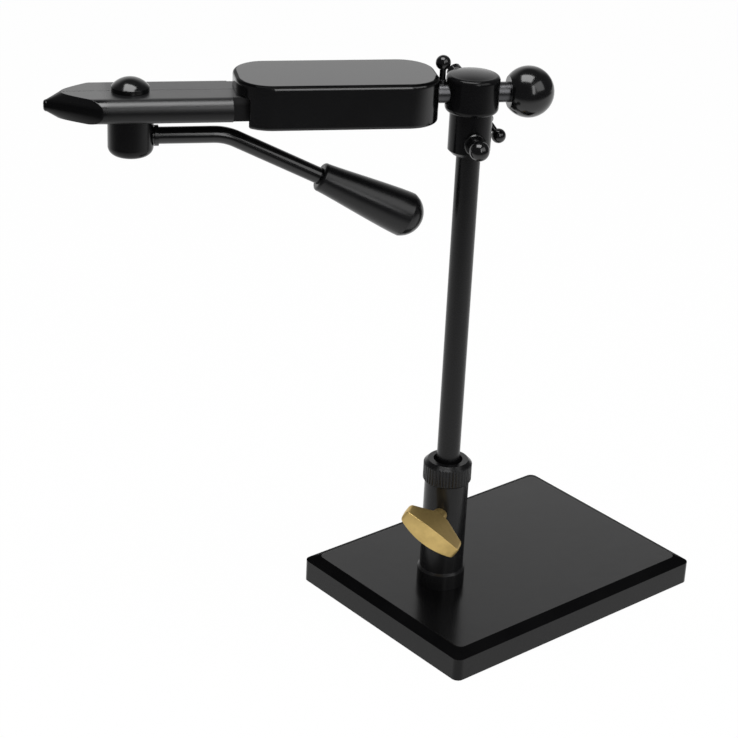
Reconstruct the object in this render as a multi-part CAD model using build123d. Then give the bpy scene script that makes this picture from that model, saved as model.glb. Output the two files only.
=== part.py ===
from build123d import *
from math import cos, pi, radians, sin, sqrt, tan
import os

# Fly tying vise on a pedestal base, in millimetres.
# The origin is on the post's axis in the plane of the table. +Z is up, the jaws point to -X
# and the ball knob to +X.

# Fits
RUN_CLEARANCE = 0.05  # radial, a shaft, pin or screw in its hole
SEAT_GAP = 0.1  # flat faces that turn on each other
TIP_GAP = 0.3  # a clamp screw's tip and what it presses on
OVERRUN = 3.0  # how far a cut runs past the face that it opens
ROUND_SHARE = 1 - sqrt(0.5)  # of a quarter round's radius, from its corner to its middle

# Base plate
BASE_LENGTH = 136.0
BASE_WIDTH = 100.0
BASE_THICK = 12.0
BASE_POST_INSET = 34.2  # from the short edge to the post's axis
BASE_TURN = 29.3  # degrees that the base is turned from the arm
BASE_BEVEL_RUN = 4.6
BASE_BEVEL_DROP = 2.4
BASE_CORNER = 3.0

# Countersunk screw that holds the socket on the base
BASE_SCREW_D = 6.0
BASE_SCREW_HEAD_D = 11.5
BASE_SCREW_SINK = 0.6  # head below the underside
BASE_SCREW_REACH = 8.0  # above the base plate's top
BASE_SCREW_KEY = 4.0  # across the flats of the hexagon recess
BASE_SCREW_KEY_DEPTH = 2.4

# Socket and its knurled collar
SOCKET_HEIGHT = 57.7
SOCKET_D = 18.3
SOCKET_FLOOR = 10.0  # from the base plate to the floor of the bore
FOOT_D = 20.0
FOOT_HEIGHT = 7.6
FOOT_CHAMFER = 0.8
COLLAR_D = 20.0
COLLAR_HEIGHT = 9.6
COLLAR_CHAMFER = 1.7
COLLAR_LIP = 2.2  # thickness of the collar over the socket's neck
COLLAR_WALL = 2.6
COLLAR_MOUTH_D = 12.0
KNURL_COUNT = 44
KNURL_DEPTH = 0.35
KNURL_LAND_SHARE = 0.35  # of the knurl's pitch that stays at full diameter

# Brass thumb screw
THUMB_HEIGHT = 47.9  # above the table
THUMB_HEADING = -115.7  # degrees from +X, seen from above
THUMB_ROLL = -32.0  # degrees that the wings are turned about the screw
THUMB_D = 5.0
THUMB_NECK_D = 6.0
THUMB_NECK_LENGTH = 6.5
THUMB_HEAD_DEPTH = 13.4
THUMB_CROWN = 2.2  # rise of the front edge from wing tip to middle
THUMB_WING_LENGTH = 26.6
THUMB_WING_THICK = 8.2
THUMB_TIP_THICK = 4.6
THUMB_TIP_DEPTH = 6.0
THUMB_TIP_ROUND = 1.6
THUMB_FLARE_SHARE = 0.6  # of the flare's depth, at the middle of its width

# Post
POST_D = 9.5
POST_CHAMFER = 0.6

# Head block: sleeve on the post, drum round the shaft
SHAFT_HEIGHT = 226.9  # of the rotary shaft's axis above the table
SLEEVE_D = 16.6
SLEEVE_LENGTH = 16.8
SLEEVE_CHAMFER = 1.6
DRUM_D = 20.8
DRUM_BELOW_SHAFT = 7.5
DRUM_ABOVE_SHAFT = 7.2
DRUM_CROWN = 0.9
DRUM_EDGE = 1.8
DRUM_LOWER_EDGE = 2.0
POST_STOP_BELOW_SHAFT = 8.0
BUSH_REACH = 7.9  # ends of the shaft's bush, from the post's axis

# Rotary shaft, its bush and rings, and the ball knob
SHAFT_D = 6.35
SHAFT_SEAT_DEPTH = 15.0  # length of shaft inside the housing
BUSH_WALL = 1.2
RING_WALL = 0.75
KNOB_D = 19.9
KNOB_REACH = 22.0  # ball's centre from the post's axis
KNOB_FLAT_D = 12.4
STUD_D = 5.0
STUD_LENGTH = 10.0

# Rotation lock: round-headed screw at the back of the drum
LOCK_HEADING = 111.0  # degrees from +X, seen from above
LOCK_RISE = 20.0  # degrees above level
LOCK_D = 3.0
LOCK_POINT_D = 2.0
LOCK_POINT_LENGTH = 1.5
LOCK_HEAD_D = 6.0
LOCK_HEAD_THICK = 3.0
LOCK_HEAD_STAND = 1.0  # head off the drum's side
LOCK_HEAD_CHAMFER = 0.5

# Post clamp: screw with a cross bar that ends in two balls
CLAMP_HEADING = 50.0
CLAMP_BELOW_SHAFT = 14.4
CLAMP_D = 3.0
CLAMP_POINT_D = 2.0
CLAMP_POINT_LENGTH = 1.5
CLAMP_HEAD_D = 4.0
CLAMP_HEAD_PAST_BAR = 2.0
CLAMP_BAR_D = 2.4
CLAMP_BAR_REACH = 14.0  # from the post's axis
CLAMP_BAR_ROLL = -45.0
CLAMP_BAR_LONG = 8.0  # from the screw's axis to the lower ball's centre
CLAMP_BAR_SHORT = 4.5
CLAMP_BALL_D = 5.8

# Ball-ended screw that holds the spacer collar on the shaft
SPACER_BOSS_D = 3.0
SPACER_BOSS_RISE = 5.4  # above the shaft's axis
SPACER_SCREW_REACH = 12.1  # from the post's axis
SPACER_SCREW_D = 1.8
SPACER_NECK_D = 2.4
SPACER_BALL_D = 5.8
SPACER_BALL_RISE = 11.9

# Ball-ended screw on the front of the sleeve
FRONT_HEADING = -90.0
FRONT_BELOW_SHAFT = 17.8
FRONT_D = 4.0
FRONT_COLLAR_D = 8.6
FRONT_COLLAR_THICK = 1.6
FRONT_COLLAR_STAND = 0.6
FRONT_COLLAR_CHAMFER = 0.4
FRONT_NECK_D = 4.4
FRONT_NECK_LENGTH = 2.4
FRONT_BALL_D = 7.8

# Housing, its cover and screws
HOUSING_GAP = 14.3  # from the post's axis to the housing's near end
HOUSING_LENGTH = 77.2
HOUSING_WIDTH = 34.4
HOUSING_HEIGHT = 17.1
HOUSING_CORNER = 13.0
HOUSING_TOP_EDGE = 1.6
HOUSING_LOWER_EDGE = 1.0
COVER_MARGIN = 1.2
COVER_THICK = 1.4
COVER_CLEARANCE = 0.1
COVER_SCREW_D = 2.5
COVER_SCREW_HEAD_D = 4.0
COVER_SCREW_LENGTH = 6.0
COVER_SCREW_INSET = 2.2  # from the cover's long edge
COVER_SCREW_SPREAD = 46.0  # between the two rows
GRUB_D = 4.0
GRUB_INSET = 7.5  # from the housing's near end

# Jaws
JAW_SIDE = 9.5  # height, and width of the square part
JAW_SPLIT = 0.3
JAW_BELOW_SHAFT = 2.1  # jaws' middle below the shaft's axis
JAW_REACH = 162.0  # tip from the post's axis
NOSE_LENGTH = 21.2
NOSE_TIP_D = 4.5
NOSE_BULGE = -0.5
NOSE_BELOW_MIDDLE = 0.5  # nose's axis below the jaws' middle
NOSE_EDGE = 1.2
CHEEK_GAP = 1.6  # from the cheeks' end to the housing
JAW_PIVOT_REACH = 52.0
JAW_PIVOT_D = 4.0
JAW_TAIL_REACH = 36.0
JAW_SWING_ROOM = 1.2  # beside the jaws in the housing
MOUTH_DEPTH = 11.0  # open end of the housing, wider than the jaws and without a floor
MOUTH_WALL = 3.6
JAW_FLOAT = 0.2  # above the jaws in the housing
TAIL_RELIEF_DEPTH = 2.4
SPRING_THICK = 0.7
SPRING_HEIGHT = 6.0
SPRING_GAP = 0.1

# Cam pin and lever
CAM_REACH = 130.0  # cam's axis from the post's axis
CAM_SMALL_RADIUS = 2.6
CAM_RISE = 1.3
CAM_THROW = 60.0  # degrees of lever for the full rise
CAM_GAP = 0.1
CAM_FLANK_POINTS = 7
CAM_ROOM = 0.6  # ends of the pocket past the cam
DOME_D = 14.2
DOME_RIM = 1.6
DOME_HEIGHT = 5.0
HUB_D = 17.2
HUB_HEIGHT = 15.0
HUB_EDGE = 3.4
HUB_GAP = 0.3
STEM_D = 6.0
STEM_LENGTH = 5.0
ROD_D = 6.5
ROD_BELOW_HUB_TOP = 7.8
ROD_SEAT_DEPTH = 3.5
ROD_COLLAR_D = 8.0
ROD_COLLAR_LENGTH = 1.6
ROD_BEND_REACH = 35.6  # corner of the bend from the cam's axis
ROD_BEND_RADIUS = 20.0
ROD_DROP = 25.7  # degrees
HANDLE_START_REACH = 72.0  # level distance from the cam's axis
HANDLE_LENGTH = 45.0
HANDLE_SMALL_D = 11.4
HANDLE_LARGE_D = 17.8
HANDLE_LARGE_SHARE = 0.85  # of the length, where the grip is widest
HANDLE_TANGENT_SHARES = (0.3, 0.6)  # pull of the grip's swell on its two ends
HANDLE_EDGE = 1.2
HANDLE_BORE_DEPTH = 26.0

# Heights worked out from the sizes above
SOCKET_TOP = BASE_THICK + SOCKET_HEIGHT
COLLAR_BOTTOM = SOCKET_TOP - COLLAR_HEIGHT
POST_BOTTOM = BASE_THICK + SOCKET_FLOOR
POST_TOP = SHAFT_HEIGHT - POST_STOP_BELOW_SHAFT
DRUM_BOTTOM = SHAFT_HEIGHT - DRUM_BELOW_SHAFT
DRUM_TOP = SHAFT_HEIGHT + DRUM_ABOVE_SHAFT
SLEEVE_BOTTOM = DRUM_BOTTOM - SLEEVE_LENGTH
HOUSING_BOTTOM = SHAFT_HEIGHT - HOUSING_HEIGHT / 2
JAW_MIDDLE = SHAFT_HEIGHT - JAW_BELOW_SHAFT
JAW_TOP = JAW_MIDDLE + JAW_SIDE / 2
JAW_BOTTOM = JAW_MIDDLE - JAW_SIDE / 2
COVER_TOP = HOUSING_BOTTOM + COVER_THICK
HUB_TOP = JAW_BOTTOM - HUB_GAP
HUB_BOTTOM = HUB_TOP - HUB_HEIGHT
ROD_HEIGHT = HUB_TOP - ROD_BELOW_HUB_TOP

# Reaches along the arm
HOUSING_END = HOUSING_GAP + HOUSING_LENGTH
CHEEK_START = HOUSING_END + CHEEK_GAP
JAW_OUTER = JAW_SPLIT / 2 + JAW_SIDE
JAW_PIVOT_Y = JAW_SPLIT / 2 + JAW_SIDE / 2
KNOB_FLAT = KNOB_REACH - sqrt(KNOB_D**2 - KNOB_FLAT_D**2) / 2
CAM_RATE = CAM_RISE / radians(CAM_THROW)

# Radii of the bores
POST_BORE_R = POST_D / 2 + RUN_CLEARANCE
BUSH_OUTER_R = SHAFT_D / 2 + RUN_CLEARANCE + BUSH_WALL
LEVEL_UP = Vector(0, 0, 1)


def upright(radius, low, high):
    """Cylinder on the Z axis between two heights."""
    return Pos(0, 0, low) * Cylinder(radius, high - low, align=(Align.CENTER, Align.CENTER, Align.MIN))


def along_arm(radius, start, end):
    """Cylinder on the rotary shaft's axis between two places along X."""
    return Pos(start, 0, SHAFT_HEIGHT) * Rot(0, 90, 0) * upright(radius, 0, end - start)


def turned(*outline):
    """Solid turned about Z from its half outline of radius and height pairs."""
    face = make_face(Polyline(*outline, close=True))
    return revolve(Plane.XZ * face, Axis.Z)


def turned_from(curves):
    """Solid turned about Z from the lines and arcs of its half outline."""
    return revolve(Plane.XZ * make_face(curves), Axis.Z)


def cap_arc(radius, low, rise):
    """Half outline of a round cap that meets the axis squarely."""
    ball = (radius**2 + rise**2) / (2 * rise)
    half = radius / 2
    middle = low + rise - ball + sqrt(ball**2 - half**2)
    return ThreePointArc((radius, low), (half, middle), (0, low + rise))


def heading_vector(heading, rise=0.0):
    """Unit vector at an angle from +X seen from above, and an angle above level."""
    return Vector(
        cos(radians(rise)) * cos(radians(heading)),
        cos(radians(rise)) * sin(radians(heading)),
        sin(radians(rise)),
    )


def screw_frame(height, heading, rise=0.0, roll=0.0):
    """Location on the post's axis whose Z points out along a screw and whose Y points up."""
    out = heading_vector(heading, rise)
    level = LEVEL_UP.cross(out).normalized()
    return Plane(origin=(0, 0, height), x_dir=level, z_dir=out).location * Rot(0, 0, roll)


THUMB_FRAME = screw_frame(THUMB_HEIGHT, THUMB_HEADING, roll=THUMB_ROLL)
LOCK_FRAME = screw_frame(SHAFT_HEIGHT, LOCK_HEADING, LOCK_RISE)
CLAMP_FRAME = screw_frame(SHAFT_HEIGHT - CLAMP_BELOW_SHAFT, CLAMP_HEADING, roll=CLAMP_BAR_ROLL)
FRONT_FRAME = screw_frame(SHAFT_HEIGHT - FRONT_BELOW_SHAFT, FRONT_HEADING)
SPACER_FRAME = Pos(-SPACER_SCREW_REACH, 0, SHAFT_HEIGHT)


# Pedestal


def make_base_plate():
    shoulder = BASE_THICK - BASE_BEVEL_DROP
    outline = RectangleRounded(BASE_LENGTH, BASE_WIDTH, BASE_CORNER)
    top = RectangleRounded(BASE_LENGTH - 2 * BASE_BEVEL_RUN, BASE_WIDTH - 2 * BASE_BEVEL_RUN, BASE_CORNER)
    bevel = loft([Pos(0, 0, shoulder) * outline, Pos(0, 0, BASE_THICK) * top], ruled=True)
    plate = Pos(BASE_LENGTH / 2 - BASE_POST_INSET, 0, 0) * (extrude(outline, shoulder) + bevel)
    return Rot(0, 0, BASE_TURN) * plate - base_screw_outline(RUN_CLEARANCE)


def base_screw_outline(clearance):
    """Countersunk head and shank, from below the plate to the depth in the socket."""
    shank = BASE_SCREW_D / 2 + clearance
    head = BASE_SCREW_HEAD_D / 2 + clearance
    cone_top = BASE_SCREW_SINK + head - shank
    top = BASE_THICK + BASE_SCREW_REACH + clearance
    low = BASE_SCREW_SINK - OVERRUN if clearance else BASE_SCREW_SINK
    outline = [(0, low), (head, low), (head, BASE_SCREW_SINK), (shank, cone_top), (shank, top), (0, top)]
    if not clearance:
        outline.pop(1)
    return turned(*outline)


def make_base_screw():
    key = extrude(RegularPolygon(BASE_SCREW_KEY / 2, 6, major_radius=False), BASE_SCREW_KEY_DEPTH)
    return base_screw_outline(0) - Pos(0, 0, BASE_SCREW_SINK) * key


def make_post_socket():
    foot_r = FOOT_D / 2
    foot_top = BASE_THICK + FOOT_HEIGHT
    neck_r = COLLAR_D / 2 - COLLAR_WALL
    neck_top = SOCKET_TOP - COLLAR_LIP
    body = turned(
        (0, BASE_THICK),
        (foot_r, BASE_THICK),
        (foot_r, foot_top - FOOT_CHAMFER),
        (foot_r - FOOT_CHAMFER, foot_top),
        (SOCKET_D / 2, foot_top),
        (SOCKET_D / 2, COLLAR_BOTTOM),
        (neck_r, COLLAR_BOTTOM),
        (neck_r, neck_top),
        (0, neck_top),
    )
    body -= upright(POST_BORE_R, POST_BOTTOM, SOCKET_TOP + OVERRUN)
    body -= base_screw_outline(RUN_CLEARANCE)
    return body - THUMB_FRAME * upright(THUMB_D / 2 + RUN_CLEARANCE, 0, SOCKET_D)


def make_socket_collar():
    """Ring with straight knurling, a chamfered top and a wide mouth round the post."""
    outer = COLLAR_D / 2
    pitch = 2 * pi / KNURL_COUNT
    groove_half = outer * pitch * (1 - KNURL_LAND_SHARE) / 2
    groove = make_face(
        Polyline((outer - KNURL_DEPTH, 0), (outer + KNURL_DEPTH, groove_half * 2),
                 (outer + KNURL_DEPTH, -groove_half * 2), close=True)
    )
    section = Circle(outer) - [Rot(0, 0, 360 * turn / KNURL_COUNT) * groove for turn in range(KNURL_COUNT)]
    ring = Pos(0, 0, COLLAR_BOTTOM) * extrude(section, COLLAR_HEIGHT)
    neck_r = outer - COLLAR_WALL + RUN_CLEARANCE
    lip_bottom = SOCKET_TOP - COLLAR_LIP
    blank = turned(
        (COLLAR_MOUTH_D / 2, lip_bottom),
        (neck_r, lip_bottom),
        (neck_r, COLLAR_BOTTOM),
        (outer - FOOT_CHAMFER, COLLAR_BOTTOM),
        (outer, COLLAR_BOTTOM + FOOT_CHAMFER),
        (outer, SOCKET_TOP - COLLAR_CHAMFER),
        (outer - COLLAR_CHAMFER, SOCKET_TOP),
        (COLLAR_MOUTH_D / 2, SOCKET_TOP),
    )
    return ring & blank


def make_thumb_screw():
    """Wing screw: a lens seen from the front, a winged cup seen from the side."""
    tip = POST_D / 2 + TIP_GAP
    root = SOCKET_D / 2 + SEAT_GAP
    head_low = root + THUMB_NECK_LENGTH
    wing_high = head_low + THUMB_HEAD_DEPTH - THUMB_CROWN
    wing_low = wing_high - THUMB_TIP_DEPTH
    half = THUMB_WING_LENGTH / 2
    neck = THUMB_NECK_D / 2
    shoulder = (neck + half) / 2
    flare = head_low + (wing_low - head_low) * THUMB_FLARE_SHARE
    side = make_face([
        Line((-neck, root), (neck, root)),
        Line((neck, root), (neck, head_low)),
        ThreePointArc((neck, head_low), (shoulder, flare), (half, wing_low)),
        Line((half, wing_low), (half, wing_high)),
        ThreePointArc((half, wing_high), (0, wing_high + THUMB_CROWN), (-half, wing_high)),
        Line((-half, wing_high), (-half, wing_low)),
        ThreePointArc((-half, wing_low), (-shoulder, flare), (-neck, head_low)),
        Line((-neck, head_low), (-neck, root)),
    ])
    tip_half = THUMB_TIP_THICK / 2
    thick_half = THUMB_WING_THICK / 2
    front = make_face([
        ThreePointArc((half, tip_half), (0, thick_half), (-half, tip_half)),
        Line((-half, tip_half), (-half, -tip_half)),
        ThreePointArc((-half, -tip_half), (0, -thick_half), (half, -tip_half)),
        Line((half, -tip_half), (half, tip_half)),
    ])
    front = fillet(front.vertices(), THUMB_TIP_ROUND)
    side = fillet([corner for corner in side.vertices() if abs(corner.X) > shoulder], THUMB_TIP_ROUND)
    head = extrude(Plane.XZ * side, THUMB_WING_THICK, both=True)
    head &= Pos(0, 0, head_low) * extrude(front, THUMB_HEAD_DEPTH)
    screw = upright(THUMB_D / 2, tip, root) + upright(neck, root, head_low + neck) + head
    return THUMB_FRAME * screw


def make_post():
    post = upright(POST_D / 2, POST_BOTTOM, POST_TOP)
    return chamfer(post.edges().filter_by(GeomType.CIRCLE), POST_CHAMFER)


# Head block and the screws that clamp it


def make_head_block():
    sleeve_r = SLEEVE_D / 2
    drum_r = DRUM_D / 2
    crown = DRUM_TOP + DRUM_CROWN
    edge_turn = DRUM_EDGE * ROUND_SHARE
    lower_turn = DRUM_LOWER_EDGE * ROUND_SHARE
    block = turned_from([
        Line((0, SLEEVE_BOTTOM), (sleeve_r - SLEEVE_CHAMFER, SLEEVE_BOTTOM)),
        Line((sleeve_r - SLEEVE_CHAMFER, SLEEVE_BOTTOM), (sleeve_r, SLEEVE_BOTTOM + SLEEVE_CHAMFER)),
        Line((sleeve_r, SLEEVE_BOTTOM + SLEEVE_CHAMFER), (sleeve_r, DRUM_BOTTOM)),
        ThreePointArc(
            (sleeve_r, DRUM_BOTTOM),
            (drum_r - (drum_r - sleeve_r) * ROUND_SHARE, DRUM_BOTTOM + lower_turn),
            (drum_r, DRUM_BOTTOM + DRUM_LOWER_EDGE),
        ),
        Line((drum_r, DRUM_BOTTOM + DRUM_LOWER_EDGE), (drum_r, DRUM_TOP - DRUM_EDGE)),
        ThreePointArc(
            (drum_r, DRUM_TOP - DRUM_EDGE),
            (drum_r - edge_turn, DRUM_TOP - edge_turn),
            (drum_r - DRUM_EDGE, DRUM_TOP),
        ),
        cap_arc(drum_r - DRUM_EDGE, DRUM_TOP, DRUM_CROWN),
        Line((0, crown), (0, SLEEVE_BOTTOM)),
    ])
    block -= upright(POST_BORE_R, SLEEVE_BOTTOM - OVERRUN, POST_TOP + SEAT_GAP)
    block -= along_arm(BUSH_OUTER_R + RUN_CLEARANCE, -DRUM_D, DRUM_D)
    block -= LOCK_FRAME * upright(LOCK_D / 2 + RUN_CLEARANCE, 0, DRUM_D)
    block -= CLAMP_FRAME * upright(CLAMP_D / 2 + RUN_CLEARANCE, 0, DRUM_D)
    return block - FRONT_FRAME * upright(FRONT_D / 2 + RUN_CLEARANCE, 0, DRUM_D)


LOCK_SLANT = abs(heading_vector(LOCK_HEADING, LOCK_RISE).X)  # lean of the lock screw along the shaft
LOCK_TIP = (SHAFT_D / 2 + TIP_GAP + LOCK_POINT_D / 2 * LOCK_SLANT) / sqrt(1 - LOCK_SLANT**2)
LOCK_ROOT = DRUM_D / 2 / cos(radians(LOCK_RISE)) + LOCK_HEAD_STAND


def make_rotation_lock_screw():
    head = upright(LOCK_HEAD_D / 2, LOCK_ROOT, LOCK_ROOT + LOCK_HEAD_THICK)
    screw = chamfer(head.edges().filter_by(GeomType.CIRCLE), LOCK_HEAD_CHAMFER)
    screw += upright(LOCK_POINT_D / 2, LOCK_TIP, LOCK_TIP + LOCK_POINT_LENGTH)
    return LOCK_FRAME * (screw + upright(LOCK_D / 2, LOCK_TIP + LOCK_POINT_LENGTH, LOCK_ROOT))


def make_post_clamp_screw():
    tip = POST_D / 2 + TIP_GAP
    root = SLEEVE_D / 2 + TIP_GAP
    screw = upright(CLAMP_POINT_D / 2, tip, tip + CLAMP_POINT_LENGTH)
    screw += upright(CLAMP_D / 2, tip + CLAMP_POINT_LENGTH, root)
    screw += upright(CLAMP_HEAD_D / 2, root, CLAMP_BAR_REACH + CLAMP_HEAD_PAST_BAR)
    hole = Cylinder(CLAMP_BAR_D / 2 + RUN_CLEARANCE, CLAMP_HEAD_D + OVERRUN, rotation=(90, 0, 0))
    return CLAMP_FRAME * (screw - Pos(0, 0, CLAMP_BAR_REACH) * hole)


def make_post_clamp_bar():
    """Cross bar along the screw's Y, slid down in its hole, with a ball on each end."""
    bar = Rot(-90, 0, 0) * upright(CLAMP_BAR_D / 2, -CLAMP_BAR_LONG, CLAMP_BAR_SHORT)
    for place in (-CLAMP_BAR_LONG, CLAMP_BAR_SHORT):
        bar += Pos(0, place, 0) * Sphere(CLAMP_BALL_D / 2)
    return CLAMP_FRAME * Pos(0, 0, CLAMP_BAR_REACH) * bar


def make_front_set_screw():
    collar = SLEEVE_D / 2 + FRONT_COLLAR_STAND
    neck = collar + FRONT_COLLAR_THICK
    ball = neck + FRONT_NECK_LENGTH + FRONT_BALL_D / 2
    screw = upright(FRONT_D / 2, POST_D / 2 + TIP_GAP, collar)
    rim = upright(FRONT_COLLAR_D / 2, collar, neck)
    screw += chamfer(rim.edges().filter_by(GeomType.CIRCLE), FRONT_COLLAR_CHAMFER)
    screw += upright(FRONT_NECK_D / 2, neck, ball)
    return FRONT_FRAME * (screw + Pos(0, 0, ball) * Sphere(FRONT_BALL_D / 2))


# Rotary shaft


def ring_on_shaft(start, end):
    outer = along_arm(SHAFT_D / 2 + RING_WALL, start, end)
    return outer - along_arm(SHAFT_D / 2 + RUN_CLEARANCE, start - OVERRUN, end + OVERRUN)


def make_rotary_shaft():
    shaft = along_arm(SHAFT_D / 2, -HOUSING_GAP - SHAFT_SEAT_DEPTH, KNOB_FLAT)
    return shaft + along_arm(STUD_D / 2, KNOB_FLAT, KNOB_FLAT + STUD_LENGTH)


def make_shaft_bush():
    tube = along_arm(BUSH_OUTER_R, -BUSH_REACH, BUSH_REACH)
    tube -= along_arm(SHAFT_D / 2 + RUN_CLEARANCE, -DRUM_D, DRUM_D)
    return tube - LOCK_FRAME * upright(LOCK_D / 2 + RUN_CLEARANCE, 0, DRUM_D)


def make_spacer_collar():
    """Ring with a small boss for the screw that holds it."""
    ring = ring_on_shaft(-HOUSING_GAP, -BUSH_REACH - SEAT_GAP)
    boss = upright(SPACER_BOSS_D / 2, SHAFT_D / 2 + RING_WALL / 2, SPACER_BOSS_RISE)
    ring += SPACER_FRAME * boss
    return ring - SPACER_FRAME * upright(SPACER_SCREW_D / 2 + RUN_CLEARANCE, 0, SPACER_BALL_RISE)


def make_spacer_ball_screw():
    neck = SPACER_BOSS_RISE + SEAT_GAP
    screw = upright(SPACER_SCREW_D / 2, SHAFT_D / 2 + TIP_GAP, neck)
    screw += upright(SPACER_NECK_D / 2, neck, SPACER_BALL_RISE)
    return SPACER_FRAME * (screw + Pos(0, 0, SPACER_BALL_RISE) * Sphere(SPACER_BALL_D / 2))


def make_knob_washer():
    return ring_on_shaft(BUSH_REACH + SEAT_GAP, KNOB_FLAT)


def make_ball_knob():
    ball = Pos(KNOB_REACH, 0, SHAFT_HEIGHT) * Sphere(KNOB_D / 2)
    ball -= along_arm(KNOB_D, KNOB_FLAT - KNOB_D, KNOB_FLAT)
    return ball - along_arm(STUD_D / 2 + RUN_CLEARANCE, KNOB_FLAT - OVERRUN, KNOB_FLAT + STUD_LENGTH + SEAT_GAP)


# Jaw housing


HOUSING_PLACE = Pos(-HOUSING_GAP - HOUSING_LENGTH / 2, 0, HOUSING_BOTTOM)
CAVITY_WIDTH = 2 * (JAW_OUTER + JAW_SWING_ROOM)


def cover_outline(clearance):
    inset = COVER_MARGIN - clearance
    return RectangleRounded(HOUSING_LENGTH - 2 * inset, HOUSING_WIDTH - 2 * inset, HOUSING_CORNER - inset)


def cover_screw_places():
    side = HOUSING_WIDTH / 2 - COVER_MARGIN - COVER_SCREW_INSET
    return GridLocations(COVER_SCREW_SPREAD, 2 * side, 2, 2)


def cover_screw(clearance):
    """Countersunk screw on Z, flush with the underside at height zero."""
    shank = COVER_SCREW_D / 2 + clearance
    head = COVER_SCREW_HEAD_D / 2 + clearance
    end = COVER_SCREW_LENGTH + clearance
    return turned((0, 0), (head, 0), (shank, head - shank), (shank, end), (0, end))


def make_housing():
    body = extrude(RectangleRounded(HOUSING_LENGTH, HOUSING_WIDTH, HOUSING_CORNER), HOUSING_HEIGHT)
    body = fillet(body.faces().sort_by(Axis.Z)[-1].edges(), HOUSING_TOP_EDGE)
    body = HOUSING_PLACE * fillet(body.faces().sort_by(Axis.Z)[0].edges(), HOUSING_LOWER_EDGE)
    cavity_end = -JAW_TAIL_REACH + JAW_SWING_ROOM
    cavity_length = cavity_end + HOUSING_END + OVERRUN
    cavity_top = JAW_TOP + JAW_FLOAT
    cavity = Box(cavity_length, CAVITY_WIDTH, cavity_top - COVER_TOP, align=(Align.MAX, Align.CENTER, Align.MIN))
    body -= Pos(cavity_end, 0, COVER_TOP) * cavity
    body -= mouth(cavity_top)
    body -= HOUSING_PLACE * extrude(cover_outline(COVER_CLEARANCE), COVER_THICK)
    body -= [HOUSING_PLACE * place * cover_screw(RUN_CLEARANCE) for place in cover_screw_places()]
    for side in (-1, 1):
        body -= Pos(-JAW_PIVOT_REACH, side * JAW_PIVOT_Y, 0) * upright(
            JAW_PIVOT_D / 2 + RUN_CLEARANCE, COVER_TOP, pivot_top() + SEAT_GAP
        )
    body -= along_arm(SHAFT_D / 2 + RUN_CLEARANCE, -HOUSING_GAP - SHAFT_SEAT_DEPTH - SEAT_GAP, 0)
    return body - grub_place() * upright(GRUB_D / 2 + RUN_CLEARANCE, COVER_TOP, SHAFT_HEIGHT)


def mouth(top, clearance=0.0):
    """Opening at the housing's far end, from below the underside to a height."""
    length = MOUTH_DEPTH + OVERRUN + clearance
    width = HOUSING_WIDTH - 2 * MOUTH_WALL
    hollow = Box(length, width, top - HOUSING_BOTTOM + OVERRUN, align=(Align.MIN, Align.CENTER, Align.MAX))
    return Pos(-HOUSING_END - OVERRUN, 0, top) * hollow


def make_housing_cover():
    plate = HOUSING_PLACE * extrude(cover_outline(0), COVER_THICK)
    plate -= mouth(COVER_TOP + OVERRUN, COVER_CLEARANCE)
    return plate - [HOUSING_PLACE * place * cover_screw(RUN_CLEARANCE) for place in cover_screw_places()]


def make_cover_screws():
    return HOUSING_PLACE * Compound([place * cover_screw(0) for place in cover_screw_places()])


def grub_place():
    return Pos(-HOUSING_GAP - GRUB_INSET, 0, 0)


def make_shaft_grub_screw():
    return grub_place() * upright(GRUB_D / 2, COVER_TOP, SHAFT_HEIGHT - SHAFT_D / 2 - RUN_CLEARANCE)


def pivot_top():
    """Upper end of a jaw's dowel, half way into the housing's roof."""
    return (JAW_TOP + HOUSING_BOTTOM + HOUSING_HEIGHT) / 2


def make_jaw_pivots():
    dowel = upright(JAW_PIVOT_D / 2, COVER_TOP, pivot_top())
    return Compound([Pos(-JAW_PIVOT_REACH, side * JAW_PIVOT_Y, 0) * dowel for side in (-1, 1)])


SPRING_START = -JAW_PIVOT_REACH + JAW_PIVOT_D
SPRING_END = -JAW_TAIL_REACH - SPRING_THICK


def make_jaw_spring():
    """Hairpin leaf between the tails, its bend towards the pivots."""
    outer = JAW_SPLIT / 2 + TAIL_RELIEF_DEPTH - SPRING_GAP
    inner = outer - SPRING_THICK
    bend = SPRING_START + outer + SPRING_GAP
    leaf = make_face([
        Line((SPRING_END, outer), (bend, outer)),
        ThreePointArc((bend, outer), (bend - outer, 0), (bend, -outer)),
        Line((bend, -outer), (SPRING_END, -outer)),
        Line((SPRING_END, -outer), (SPRING_END, -inner)),
        Line((SPRING_END, -inner), (bend, -inner)),
        ThreePointArc((bend, -inner), (bend - inner, 0), (bend, inner)),
        Line((bend, inner), (SPRING_END, inner)),
        Line((SPRING_END, inner), (SPRING_END, outer)),
    ])
    return Pos(0, 0, JAW_MIDDLE - SPRING_HEIGHT / 2) * extrude(leaf, SPRING_HEIGHT)


# Jaws, cam and lever


def cam_flank(start):
    """Points of a flank whose reach grows evenly with the angle of its normal, so that a flat
    follower moves in proportion to the lever."""
    points = []
    for step in range(CAM_FLANK_POINTS):
        throw = radians(CAM_THROW) * step / (CAM_FLANK_POINTS - 1)
        normal = start + throw
        reach = CAM_SMALL_RADIUS + CAM_RATE * throw
        x = reach * cos(normal) - CAM_RATE * sin(normal)
        y = reach * sin(normal) + CAM_RATE * cos(normal)
        points.append((x, y))
    return points


def cam_outline():
    """Two opposite flanks, one for each jaw, joined by relieved backs."""
    rear = cam_flank(pi / 2)
    front = cam_flank(3 * pi / 2)
    return make_face([Spline(*rear), Line(rear[-1], front[0]), Spline(*front), Line(front[-1], rear[0])])


CAM_LONG_RADIUS = CAM_SMALL_RADIUS + CAM_RISE + CAM_RATE


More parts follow.
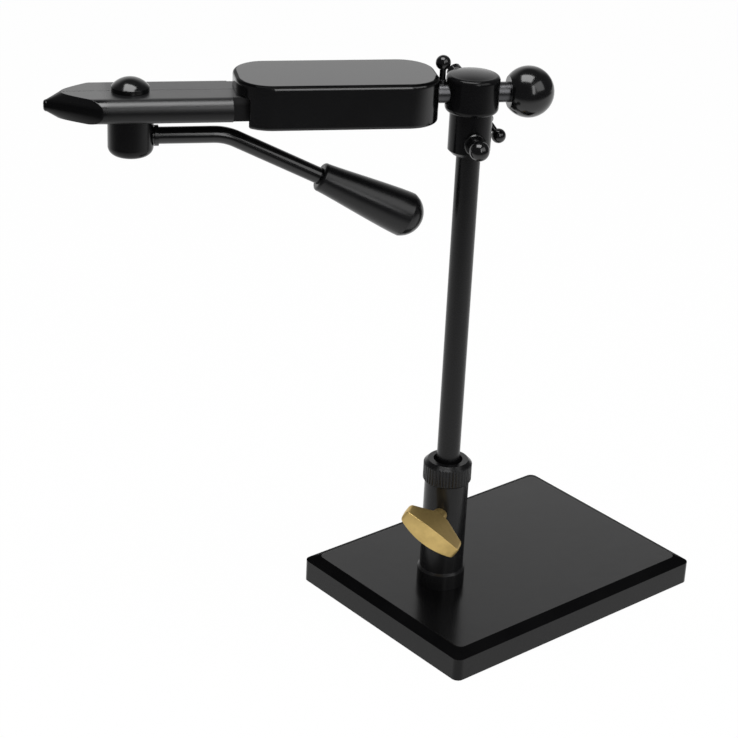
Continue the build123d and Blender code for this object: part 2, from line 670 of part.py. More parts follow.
def make_jaw(side):
    """Jaw on the side of Y that side gives: square bar, half-round cheek and turned nose."""
    inner = JAW_SPLIT / 2
    half = JAW_SIDE / 2
    square = Rectangle(JAW_SIDE, JAW_SIDE, align=(Align.MIN, Align.CENTER))
    cheek = Pos(inner, 0, 0) * (square + Pos(JAW_SIDE, 0, 0) * Circle(half))
    section_plane = Plane(origin=(-JAW_REACH, 0, JAW_MIDDLE), x_dir=(0, side, 0), z_dir=(side, 0, 0))
    front = extrude(section_plane * cheek, side * (JAW_REACH - CHEEK_START))
    front &= nose_envelope()
    tail_plane = Plane(origin=(-CHEEK_START, 0, JAW_MIDDLE), x_dir=(0, side, 0), z_dir=(side, 0, 0))
    tail = extrude(tail_plane * (Pos(inner, 0, 0) * square), side * (CHEEK_START - JAW_TAIL_REACH))
    jaw = front + tail
    pocket_length = 2 * (CAM_LONG_RADIUS + CAM_ROOM)
    pocket = Box(pocket_length, 2 * (CAM_SMALL_RADIUS + CAM_GAP), JAW_SIDE + OVERRUN)
    jaw -= Pos(-CAM_REACH, 0, JAW_MIDDLE) * pocket
    relief_length = JAW_PIVOT_REACH - JAW_TAIL_REACH - JAW_PIVOT_D + OVERRUN
    relief = Box(relief_length, 2 * (inner + TAIL_RELIEF_DEPTH), JAW_SIDE + OVERRUN,
                 align=(Align.MIN, Align.CENTER, Align.CENTER))
    jaw -= Pos(SPRING_START, 0, JAW_MIDDLE) * relief
    bore = upright(JAW_PIVOT_D / 2 + RUN_CLEARANCE, JAW_BOTTOM - OVERRUN, JAW_TOP + OVERRUN)
    return jaw - Pos(-JAW_PIVOT_REACH, side * JAW_PIVOT_Y, 0) * bore


def nose_envelope():
    """Bullet on the jaws' middle line that points both jaws, as if sharpened together."""
    full = JAW_OUTER + JAW_SIDE / 2
    tip = NOSE_TIP_D / 2
    middle = (full + tip) / 2 + NOSE_BULGE
    edge_turn = NOSE_EDGE * ROUND_SHARE
    outline = make_face([
        Line((0, 0), (tip - NOSE_EDGE, 0)),
        ThreePointArc((tip - NOSE_EDGE, 0), (tip - edge_turn, edge_turn), (tip, NOSE_EDGE)),
        ThreePointArc((tip, NOSE_EDGE), (middle, NOSE_LENGTH / 2), (full, NOSE_LENGTH)),
        Line((full, NOSE_LENGTH), (full + JAW_SIDE, NOSE_LENGTH)),
        Line((full + JAW_SIDE, NOSE_LENGTH), (full + JAW_SIDE, JAW_REACH)),
        Line((full + JAW_SIDE, JAW_REACH), (0, JAW_REACH)),
        Line((0, JAW_REACH), (0, 0)),
    ])
    bullet = revolve(Plane.XZ * outline, Axis.Z)
    return Pos(-JAW_REACH, 0, JAW_MIDDLE - NOSE_BELOW_MIDDLE) * Rot(0, 90, 0) * bullet


def make_cam_pin():
    """Domed head on the jaws' top, the cam between the jaws and a stem in the hub."""
    head_low = JAW_TOP + SEAT_GAP
    rim_high = head_low + DOME_RIM
    crown = head_low + DOME_HEIGHT
    radius = DOME_D / 2
    head = turned_from([
        Line((0, head_low), (radius, head_low)),
        Line((radius, head_low), (radius, rim_high)),
        cap_arc(radius, rim_high, crown - rim_high),
        Line((0, crown), (0, head_low)),
    ])
    cam = Pos(0, 0, HUB_TOP) * extrude(cam_outline(), head_low - HUB_TOP)
    stem = upright(STEM_D / 2, HUB_TOP - STEM_LENGTH, HUB_TOP)
    return Pos(-CAM_REACH, 0, 0) * (head + cam + stem)


def make_lever_hub():
    hub = upright(HUB_D / 2, HUB_BOTTOM, HUB_TOP)
    hub = fillet(hub.faces().sort_by(Axis.Z)[0].edges(), HUB_EDGE)
    hub -= upright(STEM_D / 2 + RUN_CLEARANCE, HUB_TOP - STEM_LENGTH - SEAT_GAP, HUB_TOP + OVERRUN)
    rod_hole = Cylinder(ROD_D / 2 + RUN_CLEARANCE, HUB_D, rotation=(0, 90, 0),
                        align=(Align.CENTER, Align.CENTER, Align.MIN))
    hub -= Pos(HUB_D / 2 - ROD_SEAT_DEPTH, 0, ROD_HEIGHT) * rod_hole
    return Pos(-CAM_REACH, 0, 0) * hub


DROP_TAN = tan(radians(ROD_DROP))
HANDLE_X = -CAM_REACH + HANDLE_START_REACH
HANDLE_Z = ROD_HEIGHT - (HANDLE_START_REACH - ROD_BEND_REACH) * DROP_TAN
HANDLE_FRAME = Plane(
    origin=(HANDLE_X, 0, HANDLE_Z),
    x_dir=(sin(radians(ROD_DROP)), 0, cos(radians(ROD_DROP))),
    z_dir=(cos(radians(ROD_DROP)), 0, -sin(radians(ROD_DROP))),
).location


def make_lever_rod():
    """Level from the hub, bent down, then straight into the handle."""
    start = (-CAM_REACH + HUB_D / 2 - ROD_SEAT_DEPTH, 0, ROD_HEIGHT)
    corner = (-CAM_REACH + ROD_BEND_REACH, 0, ROD_HEIGHT)
    end = HANDLE_FRAME * Pos(0, 0, HANDLE_BORE_DEPTH - SEAT_GAP)
    path = FilletPolyline(start, corner, tuple(end.position), radius=ROD_BEND_RADIUS)
    rod = sweep(Plane(origin=start, z_dir=(1, 0, 0)) * Circle(ROD_D / 2), path)
    collar = Cylinder(ROD_COLLAR_D / 2, ROD_COLLAR_LENGTH, rotation=(0, 90, 0),
                      align=(Align.CENTER, Align.CENTER, Align.MIN))
    return rod + Pos(-CAM_REACH + HUB_D / 2 + SEAT_GAP, 0, ROD_HEIGHT) * collar


def make_lever_handle():
    small = HANDLE_SMALL_D / 2
    large = HANDLE_LARGE_D / 2
    wide = HANDLE_LENGTH * HANDLE_LARGE_SHARE
    edge_turn = HANDLE_EDGE * ROUND_SHARE
    grip = turned_from([
        Line((0, 0), (small - HANDLE_EDGE, 0)),
        ThreePointArc((small - HANDLE_EDGE, 0), (small - edge_turn, edge_turn), (small, HANDLE_EDGE)),
        Spline((small, HANDLE_EDGE), (large, wide), tangents=((0, 1), (0, 1)), tangent_scalars=HANDLE_TANGENT_SHARES),
        cap_arc(large, wide, HANDLE_LENGTH - wide),
        Line((0, HANDLE_LENGTH), (0, 0)),
    ])
    return HANDLE_FRAME * (grip - upright(ROD_D / 2 + RUN_CLEARANCE, -OVERRUN, HANDLE_BORE_DEPTH))


PIECES = {
    "base_plate": make_base_plate,
    "base_screw": make_base_screw,
    "post_socket": make_post_socket,
    "socket_collar": make_socket_collar,
    "thumb_screw": make_thumb_screw,
    "post": make_post,
    "head_block": make_head_block,
    "rotation_lock_screw": make_rotation_lock_screw,
    "post_clamp_screw": make_post_clamp_screw,
    "post_clamp_bar": make_post_clamp_bar,
    "front_set_screw": make_front_set_screw,
    "shaft_bush": make_shaft_bush,
    "rotary_shaft": make_rotary_shaft,
    "spacer_collar": make_spacer_collar,
    "spacer_ball_screw": make_spacer_ball_screw,
    "knob_washer": make_knob_washer,
    "ball_knob": make_ball_knob,
    "housing": make_housing,
    "housing_cover": make_housing_cover,
    "cover_screws": make_cover_screws,
    "shaft_grub_screw": make_shaft_grub_screw,
    "jaw_pivots": make_jaw_pivots,
    "jaw_spring": make_jaw_spring,
    "front_jaw": lambda: make_jaw(-1),
    "rear_jaw": lambda: make_jaw(1),
    "cam_pin": make_cam_pin,
    "lever_hub": make_lever_hub,
    "lever_rod": make_lever_rod,
    "lever_handle": make_lever_handle,
}

os.makedirs("parts", exist_ok=True)
for node, make in PIECES.items():
    export_step(make(), f"parts/{node}.step")
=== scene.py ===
from math import cos, radians, sin

import bpy
from mathutils import Matrix, Quaternion, Vector

# A fly tying vise, dressed for its photograph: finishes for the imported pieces, light and camera.
# Lengths are in metres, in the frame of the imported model.
# A pattern's scale is in waves per metre.
# A fade is a pair of values: the mask is zero at the first and one at the second.

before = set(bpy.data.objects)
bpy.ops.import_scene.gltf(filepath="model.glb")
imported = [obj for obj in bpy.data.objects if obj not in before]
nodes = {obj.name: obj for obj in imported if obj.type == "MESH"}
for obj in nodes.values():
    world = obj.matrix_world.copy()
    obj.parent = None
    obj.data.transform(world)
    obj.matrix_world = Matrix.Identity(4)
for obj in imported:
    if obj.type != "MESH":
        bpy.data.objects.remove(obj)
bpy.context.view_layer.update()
MM = 0.001

# Camera, with angles in degrees and the sensor in millimetres
CAMERA_PLACE = Vector((-0.188279, -0.751114, 0.470466))
CAMERA_AZIMUTH = -11.528
CAMERA_ELEVATION = 25.0729
CAMERA_ROLL = -2.7435
FOCAL_PIXELS = 2109.17
IMAGE_PIXELS = 738
SENSOR_WIDTH = 36.0

# Floor: a white sweep round a centre and behind the object, grey elsewhere
FLOOR_RADIUS = 4.0
FLOOR_SIDES = 96
FLOOR_COLOUR = (0.9, 0.9, 0.9, 1)
WHITE = (1, 1, 1, 1)
ROOM_GREY = (0.11, 0.11, 0.113, 1)
SHADOW_SHARE = 0.02
SWEEP_CENTRE = (0.27, 0.6, 0)
SWEEP_FADE = (1.24, 0.90)
BEHIND_FADE = (0.25, 0.8)

# Backdrop, by direction: how high, how far to either side and how far back
BACKDROP_FADE = (0.76, 0.46)
SIDE_FADE = (0.72, 0.30)
BACK_FADE = (0.0, 0.25)

# Softboxes, with turns in degrees and power in watts. The overhead one looks straight down, but for
# a hair that settles which way it is turned.
VISE_MIDDLE = (0, 0, 0.22)
SOFTBOXES = {
    "overhead_softbox": {
        "place": (-0.20, -0.18, 1.23),
        "aim": (-0.20, -0.1799, 0),
        "turn": -27,
        "size": (0.86, 0.66),
        "power": 12.0,
    },
    "front_softbox": {
        "place": (0.50, -2.68, 1.50),
        "aim": VISE_MIDDLE,
        "turn": 0,
        "size": (0.62, 2.00),
        "power": 17.5,
    },
    "right_softbox": {
        "place": (1.77, -1.81, 1.86),
        "aim": VISE_MIDDLE,
        "turn": 0,
        "size": (2.10, 1.90),
        "power": 26.0,
    },
}

# Edges, eased in every finish and rubbed grey in some
EDGE_GREY = (0.05, 0.05, 0.052, 1)
EDGE_SAMPLES = 6

# Powder coat of the base, glossy on top, with painted shade: the sides are given less gloss and the
# bevel between them almost none, so they render darker
COAT_BLACK = (0.003, 0.003, 0.0032, 1)
COAT_DUST = (0.007, 0.007, 0.0073, 1)
COAT_ROUGHNESS = 0.17
COAT_PATCHES = 0.08
COAT_GLOSS_TOP = 0.31
# Painted shade: less gloss on the sides and almost none on the bevel, to darken them
COAT_SHADE_GLOSS_SIDE = 0.19
COAT_SHADE_GLOSS_BEVEL = 0.0003
DUST_LEVEL = 0.35
PEEL_SHARE = 0.35
BASE_SHOULDER = (9.55 * MM, 9.65 * MM)
BASE_TOP = (11.95 * MM, 11.98 * MM)

# Turned and blackened pieces
TURNED_BLACK = (0.002, 0.002, 0.0022, 1)
TURNED_BRIGHT = (0.006, 0.006, 0.0064, 1)
SOCKET_BLACK = (0.005, 0.005, 0.0053, 1)
SOCKET_BRIGHT = (0.012, 0.012, 0.0125, 1)
TURNED_PITCH = 0.16 * MM

# Blasted housing, with painted shade: a line just under its top is made almost unreflective and
# kept free of rubbed grey, so it renders as a dark band
HOUSING_BLACK = (0.001, 0.001, 0.0011, 1)
HOUSING_BRIGHT = (0.003, 0.003, 0.0033, 1)
HOUSING_ROUGHNESS = 0.125
HOUSING_GLOSS = 0.5
LID_SHADE_LINE_GLOSS = 0.02
LID_TOP = 235.45 * MM
LID_SHADE_LINE_BELOW = (LID_TOP - 0.78 * MM, LID_TOP - 0.70 * MM)
LID_SHADE_LINE_ABOVE = (LID_TOP - 0.01 * MM, LID_TOP - 0.03 * MM)

# Ground jaws, polished at the nose, with painted shade low on the cheeks, where they are given less
# gloss so they render darker
JAW_BLACK = (0.003, 0.003, 0.0033, 1)
JAW_BRIGHT = (0.009, 0.009, 0.0095, 1)
JAW_ROUGHNESS = 0.34
JAW_GLOSS = 0.58
CHEEK_SHADE_GLOSS = 0.24
CHEEK_SHADE_FADE = (227.55 * MM, 226.15 * MM)
NOSE_BLACK = (0.001, 0.001, 0.0011, 1)
NOSE_POLISH = 0.18
NOSE_END = (-138.0 * MM, -142.0 * MM)

# Polished lever and screws
POLISHED_BLACK = (0.003, 0.003, 0.0033, 1)
POLISHED_SMUDGE = (0.002, 0.002, 0.0022, 1)
POLISHED_ROUGHNESS = 0.15
POLISHED_GLOSS = 0.5
SMUDGE_SHARE = 0.6

# Grip
GRIP_BLACK = (0.003, 0.003, 0.0033, 1)
GRIP_BRIGHT = (0.006, 0.006, 0.0065, 1)
GRIP_ROUGHNESS = 0.25
GRIP_GLOSS = 0.34

# Ball knob
BALL_BLACK = (0.002, 0.002, 0.0022, 1)
BALL_SMUDGE = (0.003, 0.003, 0.0033, 1)
BALL_ROUGHNESS = 0.15
BALL_GLOSS = 0.5
BALL_SMUDGE_SHARE = 0.5
BALL_SMUDGE_LEVEL = 0.4
BALL_SMUDGE_DULLS = 0.1

# Brass
BRASS_LIGHT = (0.66, 0.48, 0.185, 1)
BRASS_DULL = (0.42, 0.30, 0.11, 1)
BRASS_ROUGHNESS = 0.46
TARNISH_LEVEL = 0.38
TARNISH_GAIN = 1.6
TARNISH_RUBBED_OFF = 0.6
PIT_SHARE = 0.6

# Bare steel
STEEL_LIGHT = (0.60, 0.60, 0.62, 1)
STEEL_DARK = (0.36, 0.36, 0.38, 1)
STEEL_ROUGHNESS = 0.32
STEEL_PITCH = 0.12 * MM
RING_LIGHT = (0.10, 0.10, 0.105, 1)
RING_DARK = (0.05, 0.05, 0.052, 1)


class Value:
    """A shader socket that takes part in Python arithmetic."""

    def __init__(self, finish, socket):
        self.finish = finish
        self.socket = socket

    def __add__(self, other):
        return self.finish.math("ADD", self, other)

    def __sub__(self, other):
        return self.finish.math("SUBTRACT", self, other)

    def __rsub__(self, other):
        return self.finish.math("SUBTRACT", other, self)

    def __mul__(self, other):
        return self.finish.math("MULTIPLY", self, other)

    def __truediv__(self, other):
        return self.finish.math("DIVIDE", self, other)

    __radd__ = __add__
    __rmul__ = __mul__

    def clamped(self):
        """The value kept between zero and one."""
        return self.finish.math("MINIMUM", self.finish.math("MAXIMUM", self, 0.0), 1.0)


class Finish:
    """The nodes of a material or of the room."""

    def __init__(self, owner):
        owner.use_nodes = True
        self.owner = owner
        self.tree = owner.node_tree
        self.tree.nodes.clear()

    def make(self, kind, output=None, settings=None, sockets=None):
        """Adds a node, sets it up, feeds its sockets and gives back the output asked for."""
        node = self.tree.nodes.new(kind)
        for key, setting in (settings or {}).items():
            setattr(node, key, setting)
        for key, value in (sockets or {}).items():
            if isinstance(value, Value):
                self.tree.links.new(value.socket, node.inputs[key])
            else:
                node.inputs[key].default_value = value
        return None if output is None else Value(self, node.outputs[output])

    def math(self, operation, *values):
        settings = {"operation": operation}
        return self.make("ShaderNodeMath", 0, settings, dict(enumerate(values)))

    def vector_math(self, operation, first, second):
        settings = {"operation": operation}
        return self.make("ShaderNodeVectorMath", "Value", settings, {0: first, 1: second})

    def place(self, kind="Object"):
        return self.make("ShaderNodeTexCoord", kind)

    def along(self, vector, axis):
        """One of a vector's three values."""
        return self.make("ShaderNodeSeparateXYZ", axis, None, {"Vector": vector})

    def noise(self, vector, scale, detail=2.0, roughness=0.5):
        sockets = {"Vector": vector, "Scale": scale, "Detail": detail, "Roughness": roughness}
        return self.make("ShaderNodeTexNoise", "Fac", None, sockets)

    def streaks(self, vector, scales, detail, roughness=0.7):
        """Noise with a scale of its own in each direction, drawn out where the scale is low."""
        sockets = {"Vector": vector, "Scale": scales}
        stretched = self.make("ShaderNodeMapping", "Vector", None, sockets)
        return self.noise(stretched, scale=1.0, detail=detail, roughness=roughness)

    def tool_marks(self, along, pitch):
        """Uneven lines across one direction, like the marks of a lathe tool."""
        sockets = {"W": along / pitch, "Scale": 1.0, "Detail": 3.0, "Roughness": 0.7}
        return self.make("ShaderNodeTexNoise", "Fac", {"noise_dimensions": "1D"}, sockets)

    def blend(self, factor, first, second):
        """A colour between two colours."""
        sockets = {0: factor, 6: first, 7: second}
        return self.make("ShaderNodeMix", 2, {"data_type": "RGBA"}, sockets)

    def rounded(self, radius):
        """Normal of the surface as if its edges were eased."""
        settings = {"samples": EDGE_SAMPLES}
        return self.make("ShaderNodeBevel", "Normal", settings, {"Radius": radius})

    def edge(self, eased, gain):
        """Mask of the edges, where the eased normal leaves the true one."""
        true_normal = self.make("ShaderNodeNewGeometry", "Normal")
        match = self.vector_math("DOT_PRODUCT", eased, true_normal)
        return ((1 - match) * gain).clamped()

    def rubbed(self, vector, eased, gain, scale, detail, share=1.0):
        """Mask of edges that are rubbed in patches."""
        return self.edge(eased, gain) * self.noise(vector, scale, detail) * share

    def bump(self, pattern, normal, depth, strength):
        sockets = {"Height": pattern, "Distance": depth, "Strength": strength, "Normal": normal}
        return self.make("ShaderNodeBump", "Normal", None, sockets)

    def shader(self, **sockets):
        """Principled shader, its sockets named in small letters."""
        names = [key.replace("_", " ").title().replace("Ior", "IOR") for key in sockets]
        sockets = dict(zip(names, sockets.values()))
        return self.make("ShaderNodeBsdfPrincipled", "BSDF", None, sockets)

    def mixed(self, factor, first, second):
        """A shader between two shaders."""
        sockets = {0: factor, 1: first, 2: second}
        return self.make("ShaderNodeMixShader", "Shader", None, sockets)

    def done(self, shader, kind="ShaderNodeOutputMaterial"):
        self.make(kind, None, None, {"Surface": shader})
        return self.owner


def faded(along, fade):
    """Zero at the fade's first value and one at its second."""
    start, end = fade
    return ((along - start) / (end - start)).clamped()


def halves(first, second):
    """Equal parts of two patterns."""
    return first * 0.5 + second * 0.5


def swing(pattern, by):
    """A pattern that swings about zero."""
    return (pattern - 0.5) * by


def powder_coat(name):
    """Satin black powder coat: orange peel, a little dust, edges rubbed grey, and painted shade on
    the sides and the bevel, which are given less gloss than the top.
    """
    finish = Finish(bpy.data.materials.new(name))
    vector = finish.place()
    height = finish.along(vector, "Z")
    eased = finish.rounded(radius=0.15 * MM)
    rubbed = finish.rubbed(vector, eased, gain=2.5, scale=240.0, detail=4.0)
    dust = finish.noise(vector, scale=38.0, detail=5.0, roughness=0.65)
    patches = finish.noise(vector, scale=90.0, detail=3.0)
    peel = finish.noise(vector, scale=1500.0)
    ripple = finish.noise(vector, scale=210.0, detail=1.0)
    colour = finish.blend((dust - DUST_LEVEL).clamped(), COAT_BLACK, COAT_DUST)
    coat = {
        "base_color": finish.blend(rubbed, colour, EDGE_GREY),
        "roughness": COAT_ROUGHNESS + patches * COAT_PATCHES,
        "normal": finish.bump(peel * PEEL_SHARE + ripple, eased, depth=0.05 * MM, strength=0.35),
    }
    # Painted shade: one coat in three copies, the sides less glossy than the top and the bevel
    # almost unreflective, so they render darker
    top = finish.shader(specular_ior_level=COAT_GLOSS_TOP, **coat)
    side = finish.shader(specular_ior_level=COAT_SHADE_GLOSS_SIDE, **coat)
    bevel = finish.shader(specular_ior_level=COAT_SHADE_GLOSS_BEVEL, **coat)
    edges = finish.mixed(faded(height, BASE_SHOULDER), side, bevel)
    return finish.done(finish.mixed(faded(height, BASE_TOP), edges, top))


def turned_black(name, roughness, gloss, black=TURNED_BLACK, bright=TURNED_BRIGHT):
    """Black finish over turned metal, with the tool's fine marks round the upright axis."""
    finish = Finish(bpy.data.materials.new(name))
    vector = finish.place()
    eased = finish.rounded(radius=0.25 * MM)
    marks = finish.tool_marks(finish.along(vector, "Z"), TURNED_PITCH)
    cloud = finish.noise(vector, scale=120.0, detail=4.0, roughness=0.6)
    rubbed = finish.rubbed(vector, eased, gain=3.0, scale=420.0, detail=3.0, share=0.7)
    colour = finish.blend(halves(marks, cloud), black, bright)
    return finish.done(finish.shader(
        base_color=finish.blend(rubbed, colour, EDGE_GREY),
        roughness=roughness + swing(marks, by=0.12) + swing(cloud, by=0.1),
        normal=finish.bump(marks, eased, depth=0.02 * MM, strength=0.25),
        specular_ior_level=gloss,
    ))


def blasted_black(name):
    """Black anodised finish over blasted metal, with a painted dark line of shade round the
    housing's top edge.
    """
    finish = Finish(bpy.data.materials.new(name))
    vector = finish.place()
    height = finish.along(vector, "Z")
    eased = finish.rounded(radius=0.8 * MM)
    pores = finish.noise(vector, scale=4200.0)
    cloud = finish.noise(vector, scale=60.0, detail=4.0, roughness=0.6)
    rubbed = finish.rubbed(vector, eased, gain=2.0, scale=300.0, detail=4.0, share=0.5)
    # Painted shade: a thin band just under the top, unreflective and without rubbed grey, renders
    # as a dark line
    line = faded(height, LID_SHADE_LINE_BELOW) * faded(height, LID_SHADE_LINE_ABOVE)
    colour = finish.blend(cloud, HOUSING_BLACK, HOUSING_BRIGHT)
    anodised = {
        "base_color": finish.blend(rubbed * (1 - line), colour, EDGE_GREY),
        "roughness": HOUSING_ROUGHNESS + swing(cloud, by=0.06) + swing(pores, by=0.05),
        "normal": finish.bump(pores, eased, depth=0.02 * MM, strength=0.18),
    }
    glossy = finish.shader(specular_ior_level=HOUSING_GLOSS, **anodised)
    painted_shade = finish.shader(specular_ior_level=LID_SHADE_LINE_GLOSS, **anodised)
    return finish.done(finish.mixed(line, glossy, painted_shade))


def ground_black(name):
    """Black oxide over ground steel: fine lines along the jaws, polished nose, and painted shade on
    the low cheeks, given less gloss.
    """
    finish = Finish(bpy.data.materials.new(name))
    vector = finish.place()
    eased = finish.rounded(radius=0.3 * MM)
    lines = finish.streaks(vector, scales=(60.0, 5200.0, 5200.0), detail=3.0)
    cloud = finish.noise(vector, scale=150.0, detail=4.0, roughness=0.6)
    rubbed = finish.rubbed(vector, eased, gain=3.0, scale=500.0, detail=4.0, share=0.8)
    nose = faded(finish.along(vector, "X"), NOSE_END)
    # Painted shade: below this height the cheeks get less gloss, which darkens their lower band
    low = faded(finish.along(vector, "Z"), CHEEK_SHADE_FADE)
    colour = finish.blend(halves(lines, cloud), JAW_BLACK, JAW_BRIGHT)
    colour = finish.blend(nose, colour, NOSE_BLACK)
    polish = JAW_ROUGHNESS - nose * NOSE_POLISH
    oxide = {
        "base_color": finish.blend(rubbed, colour, EDGE_GREY),
        "roughness": polish + swing(lines, by=0.10) + swing(cloud, by=0.06),
        "normal": finish.bump(lines, eased, depth=0.015 * MM, strength=0.25),
    }
    bright = finish.shader(specular_ior_level=JAW_GLOSS, **oxide)
    dull = finish.shader(specular_ior_level=CHEEK_SHADE_GLOSS, **oxide)
    return finish.done(finish.mixed(low, bright, dull))


def polished_black(name):
    """Polished black oxide: mirror-like, with faint smudges and draw lines."""
    finish = Finish(bpy.data.materials.new(name))
    vector = finish.place()
    eased = finish.rounded(radius=0.2 * MM)
    smudge = finish.noise(vector, scale=95.0, detail=5.0, roughness=0.65)
    lines = finish.streaks(vector, scales=(90.0, 3800.0, 3800.0), detail=2.0, roughness=0.5)
    return finish.done(finish.shader(
        base_color=finish.blend(smudge * SMUDGE_SHARE, POLISHED_BLACK, POLISHED_SMUDGE),
        roughness=POLISHED_ROUGHNESS + swing(smudge, by=0.16),
        normal=finish.bump(lines, eased, depth=0.006 * MM, strength=0.12),
        specular_ior_level=POLISHED_GLOSS,
    ))


def moulded_grip(name):
    """Satin moulded plastic with a fine grain."""
    finish = Finish(bpy.data.materials.new(name))
    vector = finish.place()
    eased = finish.rounded(radius=0.3 * MM)
    grain = finish.noise(vector, scale=2600.0, detail=3.0, roughness=0.6)
    cloud = finish.noise(vector, scale=110.0, detail=4.0)
    return finish.done(finish.shader(
        base_color=finish.blend(cloud, GRIP_BLACK, GRIP_BRIGHT),
        roughness=GRIP_ROUGHNESS + swing(cloud, by=0.10) + swing(grain, by=0.06),
        normal=finish.bump(grain, eased, depth=0.02 * MM, strength=0.2),
        specular_ior_level=GRIP_GLOSS,
    ))


def polished_ball(name):
    """Glossy moulded ball with faint polishing swirls."""
    finish = Finish(bpy.data.materials.new(name))
    vector = finish.place()
    eased = finish.rounded(radius=0.2 * MM)
    swirl = finish.streaks(vector, scales=(400.0, 900.0, 2600.0), detail=4.0)
    smudge = finish.noise(vector, scale=130.0, detail=5.0, roughness=0.6)
    dulled = (smudge - BALL_SMUDGE_LEVEL).clamped()
    return finish.done(finish.shader(
        base_color=finish.blend(smudge * BALL_SMUDGE_SHARE, BALL_BLACK, BALL_SMUDGE),
        roughness=BALL_ROUGHNESS + dulled * BALL_SMUDGE_DULLS,
        normal=finish.bump(swirl, eased, depth=0.002 * MM, strength=0.05),
        specular_ior_level=BALL_GLOSS,
    ))


def tumbled_brass(name):
    """Satin brass: tumbled surface, tarnished in patches and brighter on the edges."""
    finish = Finish(bpy.data.materials.new(name))
    vector = finish.place()
    eased = finish.rounded(radius=0.6 * MM)
    worn = finish.edge(eased, gain=2.0)
    dull = finish.noise(vector, scale=160.0, detail=5.0, roughness=0.65)
    scratches = finish.streaks(vector, scales=(1400.0, 500.0, 3200.0), detail=3.0)
    pits = finish.noise(vector, scale=1900.0, detail=3.0)
    tarnish = (dull - TARNISH_LEVEL) * TARNISH_GAIN - worn * TARNISH_RUBBED_OFF
    relief = pits * PIT_SHARE + scratches * (1 - PIT_SHARE)
    return finish.done(finish.shader(
        base_color=finish.blend(tarnish.clamped(), BRASS_LIGHT, BRASS_DULL),
        metallic=1.0,
        roughness=BRASS_ROUGHNESS + swing(dull, by=0.2) + swing(scratches, by=0.1),
        normal=finish.bump(relief, eased, depth=0.03 * MM, strength=0.3),
    ))


def plain_steel(name, axis, light=STEEL_LIGHT, dark=STEEL_DARK):
    """Bare steel, with the tool's fine marks round one axis."""
    finish = Finish(bpy.data.materials.new(name))
    vector = finish.place()
    eased = finish.rounded(radius=0.15 * MM)
    marks = finish.tool_marks(finish.along(vector, axis), STEEL_PITCH)
    cloud = finish.noise(vector, scale=180.0, detail=4.0)
    return finish.done(finish.shader(
        base_color=finish.blend(halves(marks, cloud), dark, light),
        metallic=1.0,
        roughness=STEEL_ROUGHNESS + swing(marks, by=0.14),
        normal=finish.bump(marks, eased, depth=0.015 * MM, strength=0.25),
    ))


def dress(material, *names):
    """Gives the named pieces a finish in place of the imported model's own."""
    for name in names:
        nodes[name].data.materials.clear()
        nodes[name].data.materials.append(material)


dress(powder_coat("base_powder_coat"), "base_plate")
dress(turned_black("upright_turned_black", roughness=0.26, gloss=0.26), "post")
socket_black = turned_black(
    "socket_turned_black", roughness=0.24, gloss=0.22, black=SOCKET_BLACK, bright=SOCKET_BRIGHT)
dress(socket_black, "post_socket")
dress(turned_black("collar_knurled_black", roughness=0.26, gloss=0.26), "socket_collar")
dress(turned_black("head_turned_black", roughness=0.17, gloss=0.15), "head_block")
dress(blasted_black("housing_blasted_black"), "housing", "housing_cover")
dress(ground_black("jaw_ground_black"), "front_jaw", "rear_jaw")
dress(polished_black("lever_polished_black"), "lever_rod", "cam_pin")
dress(turned_black("hub_turned_black", roughness=0.18, gloss=0.2), "lever_hub")
dress(polished_black("screw_polished_black"), "rotation_lock_screw", "post_clamp_screw",
      "post_clamp_bar", "front_set_screw", "spacer_ball_screw")
dress(moulded_grip("grip_moulded_black"), "lever_handle")
dress(polished_ball("knob_polished_black"), "ball_knob")
dress(tumbled_brass("thumb_tumbled_brass"), "thumb_screw", "shaft_bush")
dress(plain_steel("ring_dark_steel", "X", RING_LIGHT, RING_DARK), "spacer_collar", "knob_washer")
dress(plain_steel("inner_plain_steel", "Z"), "base_screw", "rotary_shaft", "cover_screws",
      "shaft_grub_screw", "jaw_pivots", "jaw_spring")


def lay_floor():
    """White sweep that turns grey far in front of the object, and keeps its shadow."""
    bpy.ops.object.select_all(action="DESELECT")
    bpy.ops.mesh.primitive_circle_add(
        vertices=FLOOR_SIDES, radius=FLOOR_RADIUS, fill_type="NGON")
    floor = bpy.context.object
    floor.name = "floor"
    finish = Finish(bpy.data.materials.new("floor_white"))
    vector = finish.place()
    reach = finish.vector_math("DISTANCE", vector, SWEEP_CENTRE)
    behind = faded(finish.along(vector, "Y"), BEHIND_FADE)
    lit = finish.math("MAXIMUM", faded(reach, SWEEP_FADE), behind)
    colour = finish.blend(lit, ROOM_GREY, WHITE)
    camera = finish.make("ShaderNodeLightPath", "Is Camera Ray")
    glossy = finish.make("ShaderNodeLightPath", "Is Glossy Ray")
    transmission = finish.make("ShaderNodeLightPath", "Is Transmission Ray")
    seen = (camera + glossy + transmission).clamped() * (1 - SHADOW_SHARE)
    plain = finish.make("ShaderNodeBsdfDiffuse", "BSDF", None, {"Color": FLOOR_COLOUR})
    glow = {"Color": colour, "Strength": 1.0}
    sweep = finish.make("ShaderNodeEmission", "Emission", None, glow)
    floor.data.materials.append(finish.done(finish.mixed(seen, plain, sweep)))


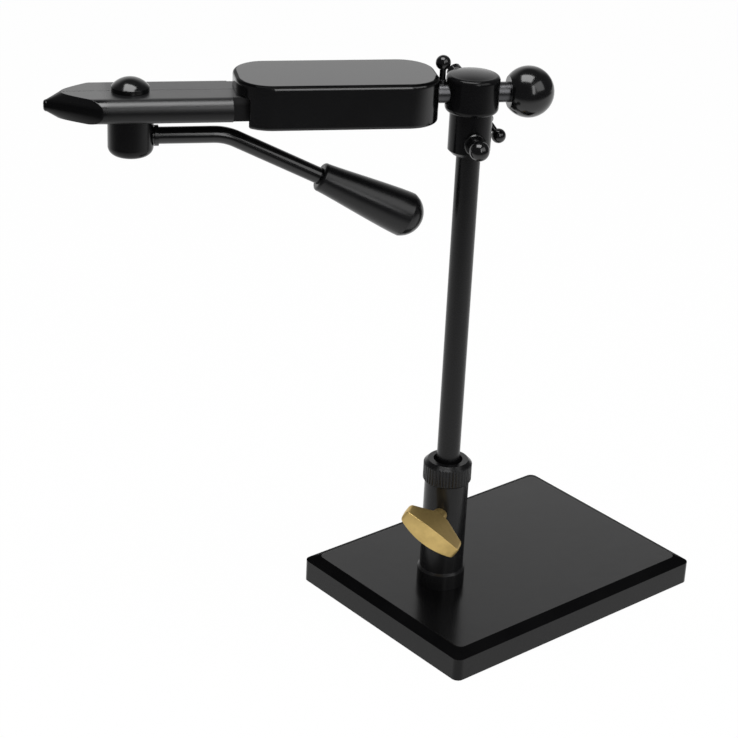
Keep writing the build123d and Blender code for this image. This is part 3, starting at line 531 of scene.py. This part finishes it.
def light_room():
    """A white backdrop behind the object, in a dim room."""
    world = bpy.data.worlds.new("studio")
    bpy.context.scene.world = world
    room = Finish(world)
    direction = room.place("Generated")
    right, back, height = [room.along(direction, axis) for axis in "XYZ"]
    aside = room.math("ABSOLUTE", right)
    backdrop = faded(height, BACKDROP_FADE) * faded(aside, SIDE_FADE) * faded(back, BACK_FADE)
    glow = {"Color": room.blend(backdrop, ROOM_GREY, WHITE), "Strength": 1.0}
    background = room.make("ShaderNodeBackground", "Background", None, glow)
    room.done(background, "ShaderNodeOutputWorld")


def soft_light(name, place, aim, turn, size, power):
    """Rectangular softbox, turned in degrees about the line to its aim."""
    lamp = bpy.data.lights.new(name, "AREA")
    lamp.shape = "RECTANGLE"
    lamp.size, lamp.size_y = size
    lamp.energy = power
    light = bpy.data.objects.new(name, lamp)
    bpy.context.scene.collection.objects.link(light)
    light.location = place
    facing = (Vector(aim) - Vector(place)).to_track_quat("-Z", "Y")
    light.rotation_euler = (facing @ Quaternion((0, 0, 1), radians(turn))).to_euler()


def set_camera():
    """Camera at the photograph's place, turned by its azimuth, elevation and roll."""
    azimuth = radians(CAMERA_AZIMUTH)
    elevation = radians(CAMERA_ELEVATION)
    roll = radians(CAMERA_ROLL)
    back = Vector((sin(azimuth) * cos(elevation), -cos(azimuth) * cos(elevation), sin(elevation)))
    right = Vector((cos(azimuth), sin(azimuth), 0))
    up = back.cross(right)
    rolled_right = right * cos(roll) - up * sin(roll)
    rolled_up = right * sin(roll) + up * cos(roll)
    turned = Matrix((rolled_right, rolled_up, back)).transposed().to_4x4()
    lens = bpy.data.cameras.new("photo_camera")
    lens.sensor_width = SENSOR_WIDTH
    lens.lens = SENSOR_WIDTH * FOCAL_PIXELS / IMAGE_PIXELS
    camera = bpy.data.objects.new("photo_camera", lens)
    bpy.context.scene.collection.objects.link(camera)
    camera.matrix_world = Matrix.Translation(CAMERA_PLACE) @ turned
    bpy.context.scene.camera = camera


lay_floor()
light_room()
for name, softbox in SOFTBOXES.items():
    soft_light(name, **softbox)
set_camera()
bpy.context.scene.view_settings.view_transform = "Standard"
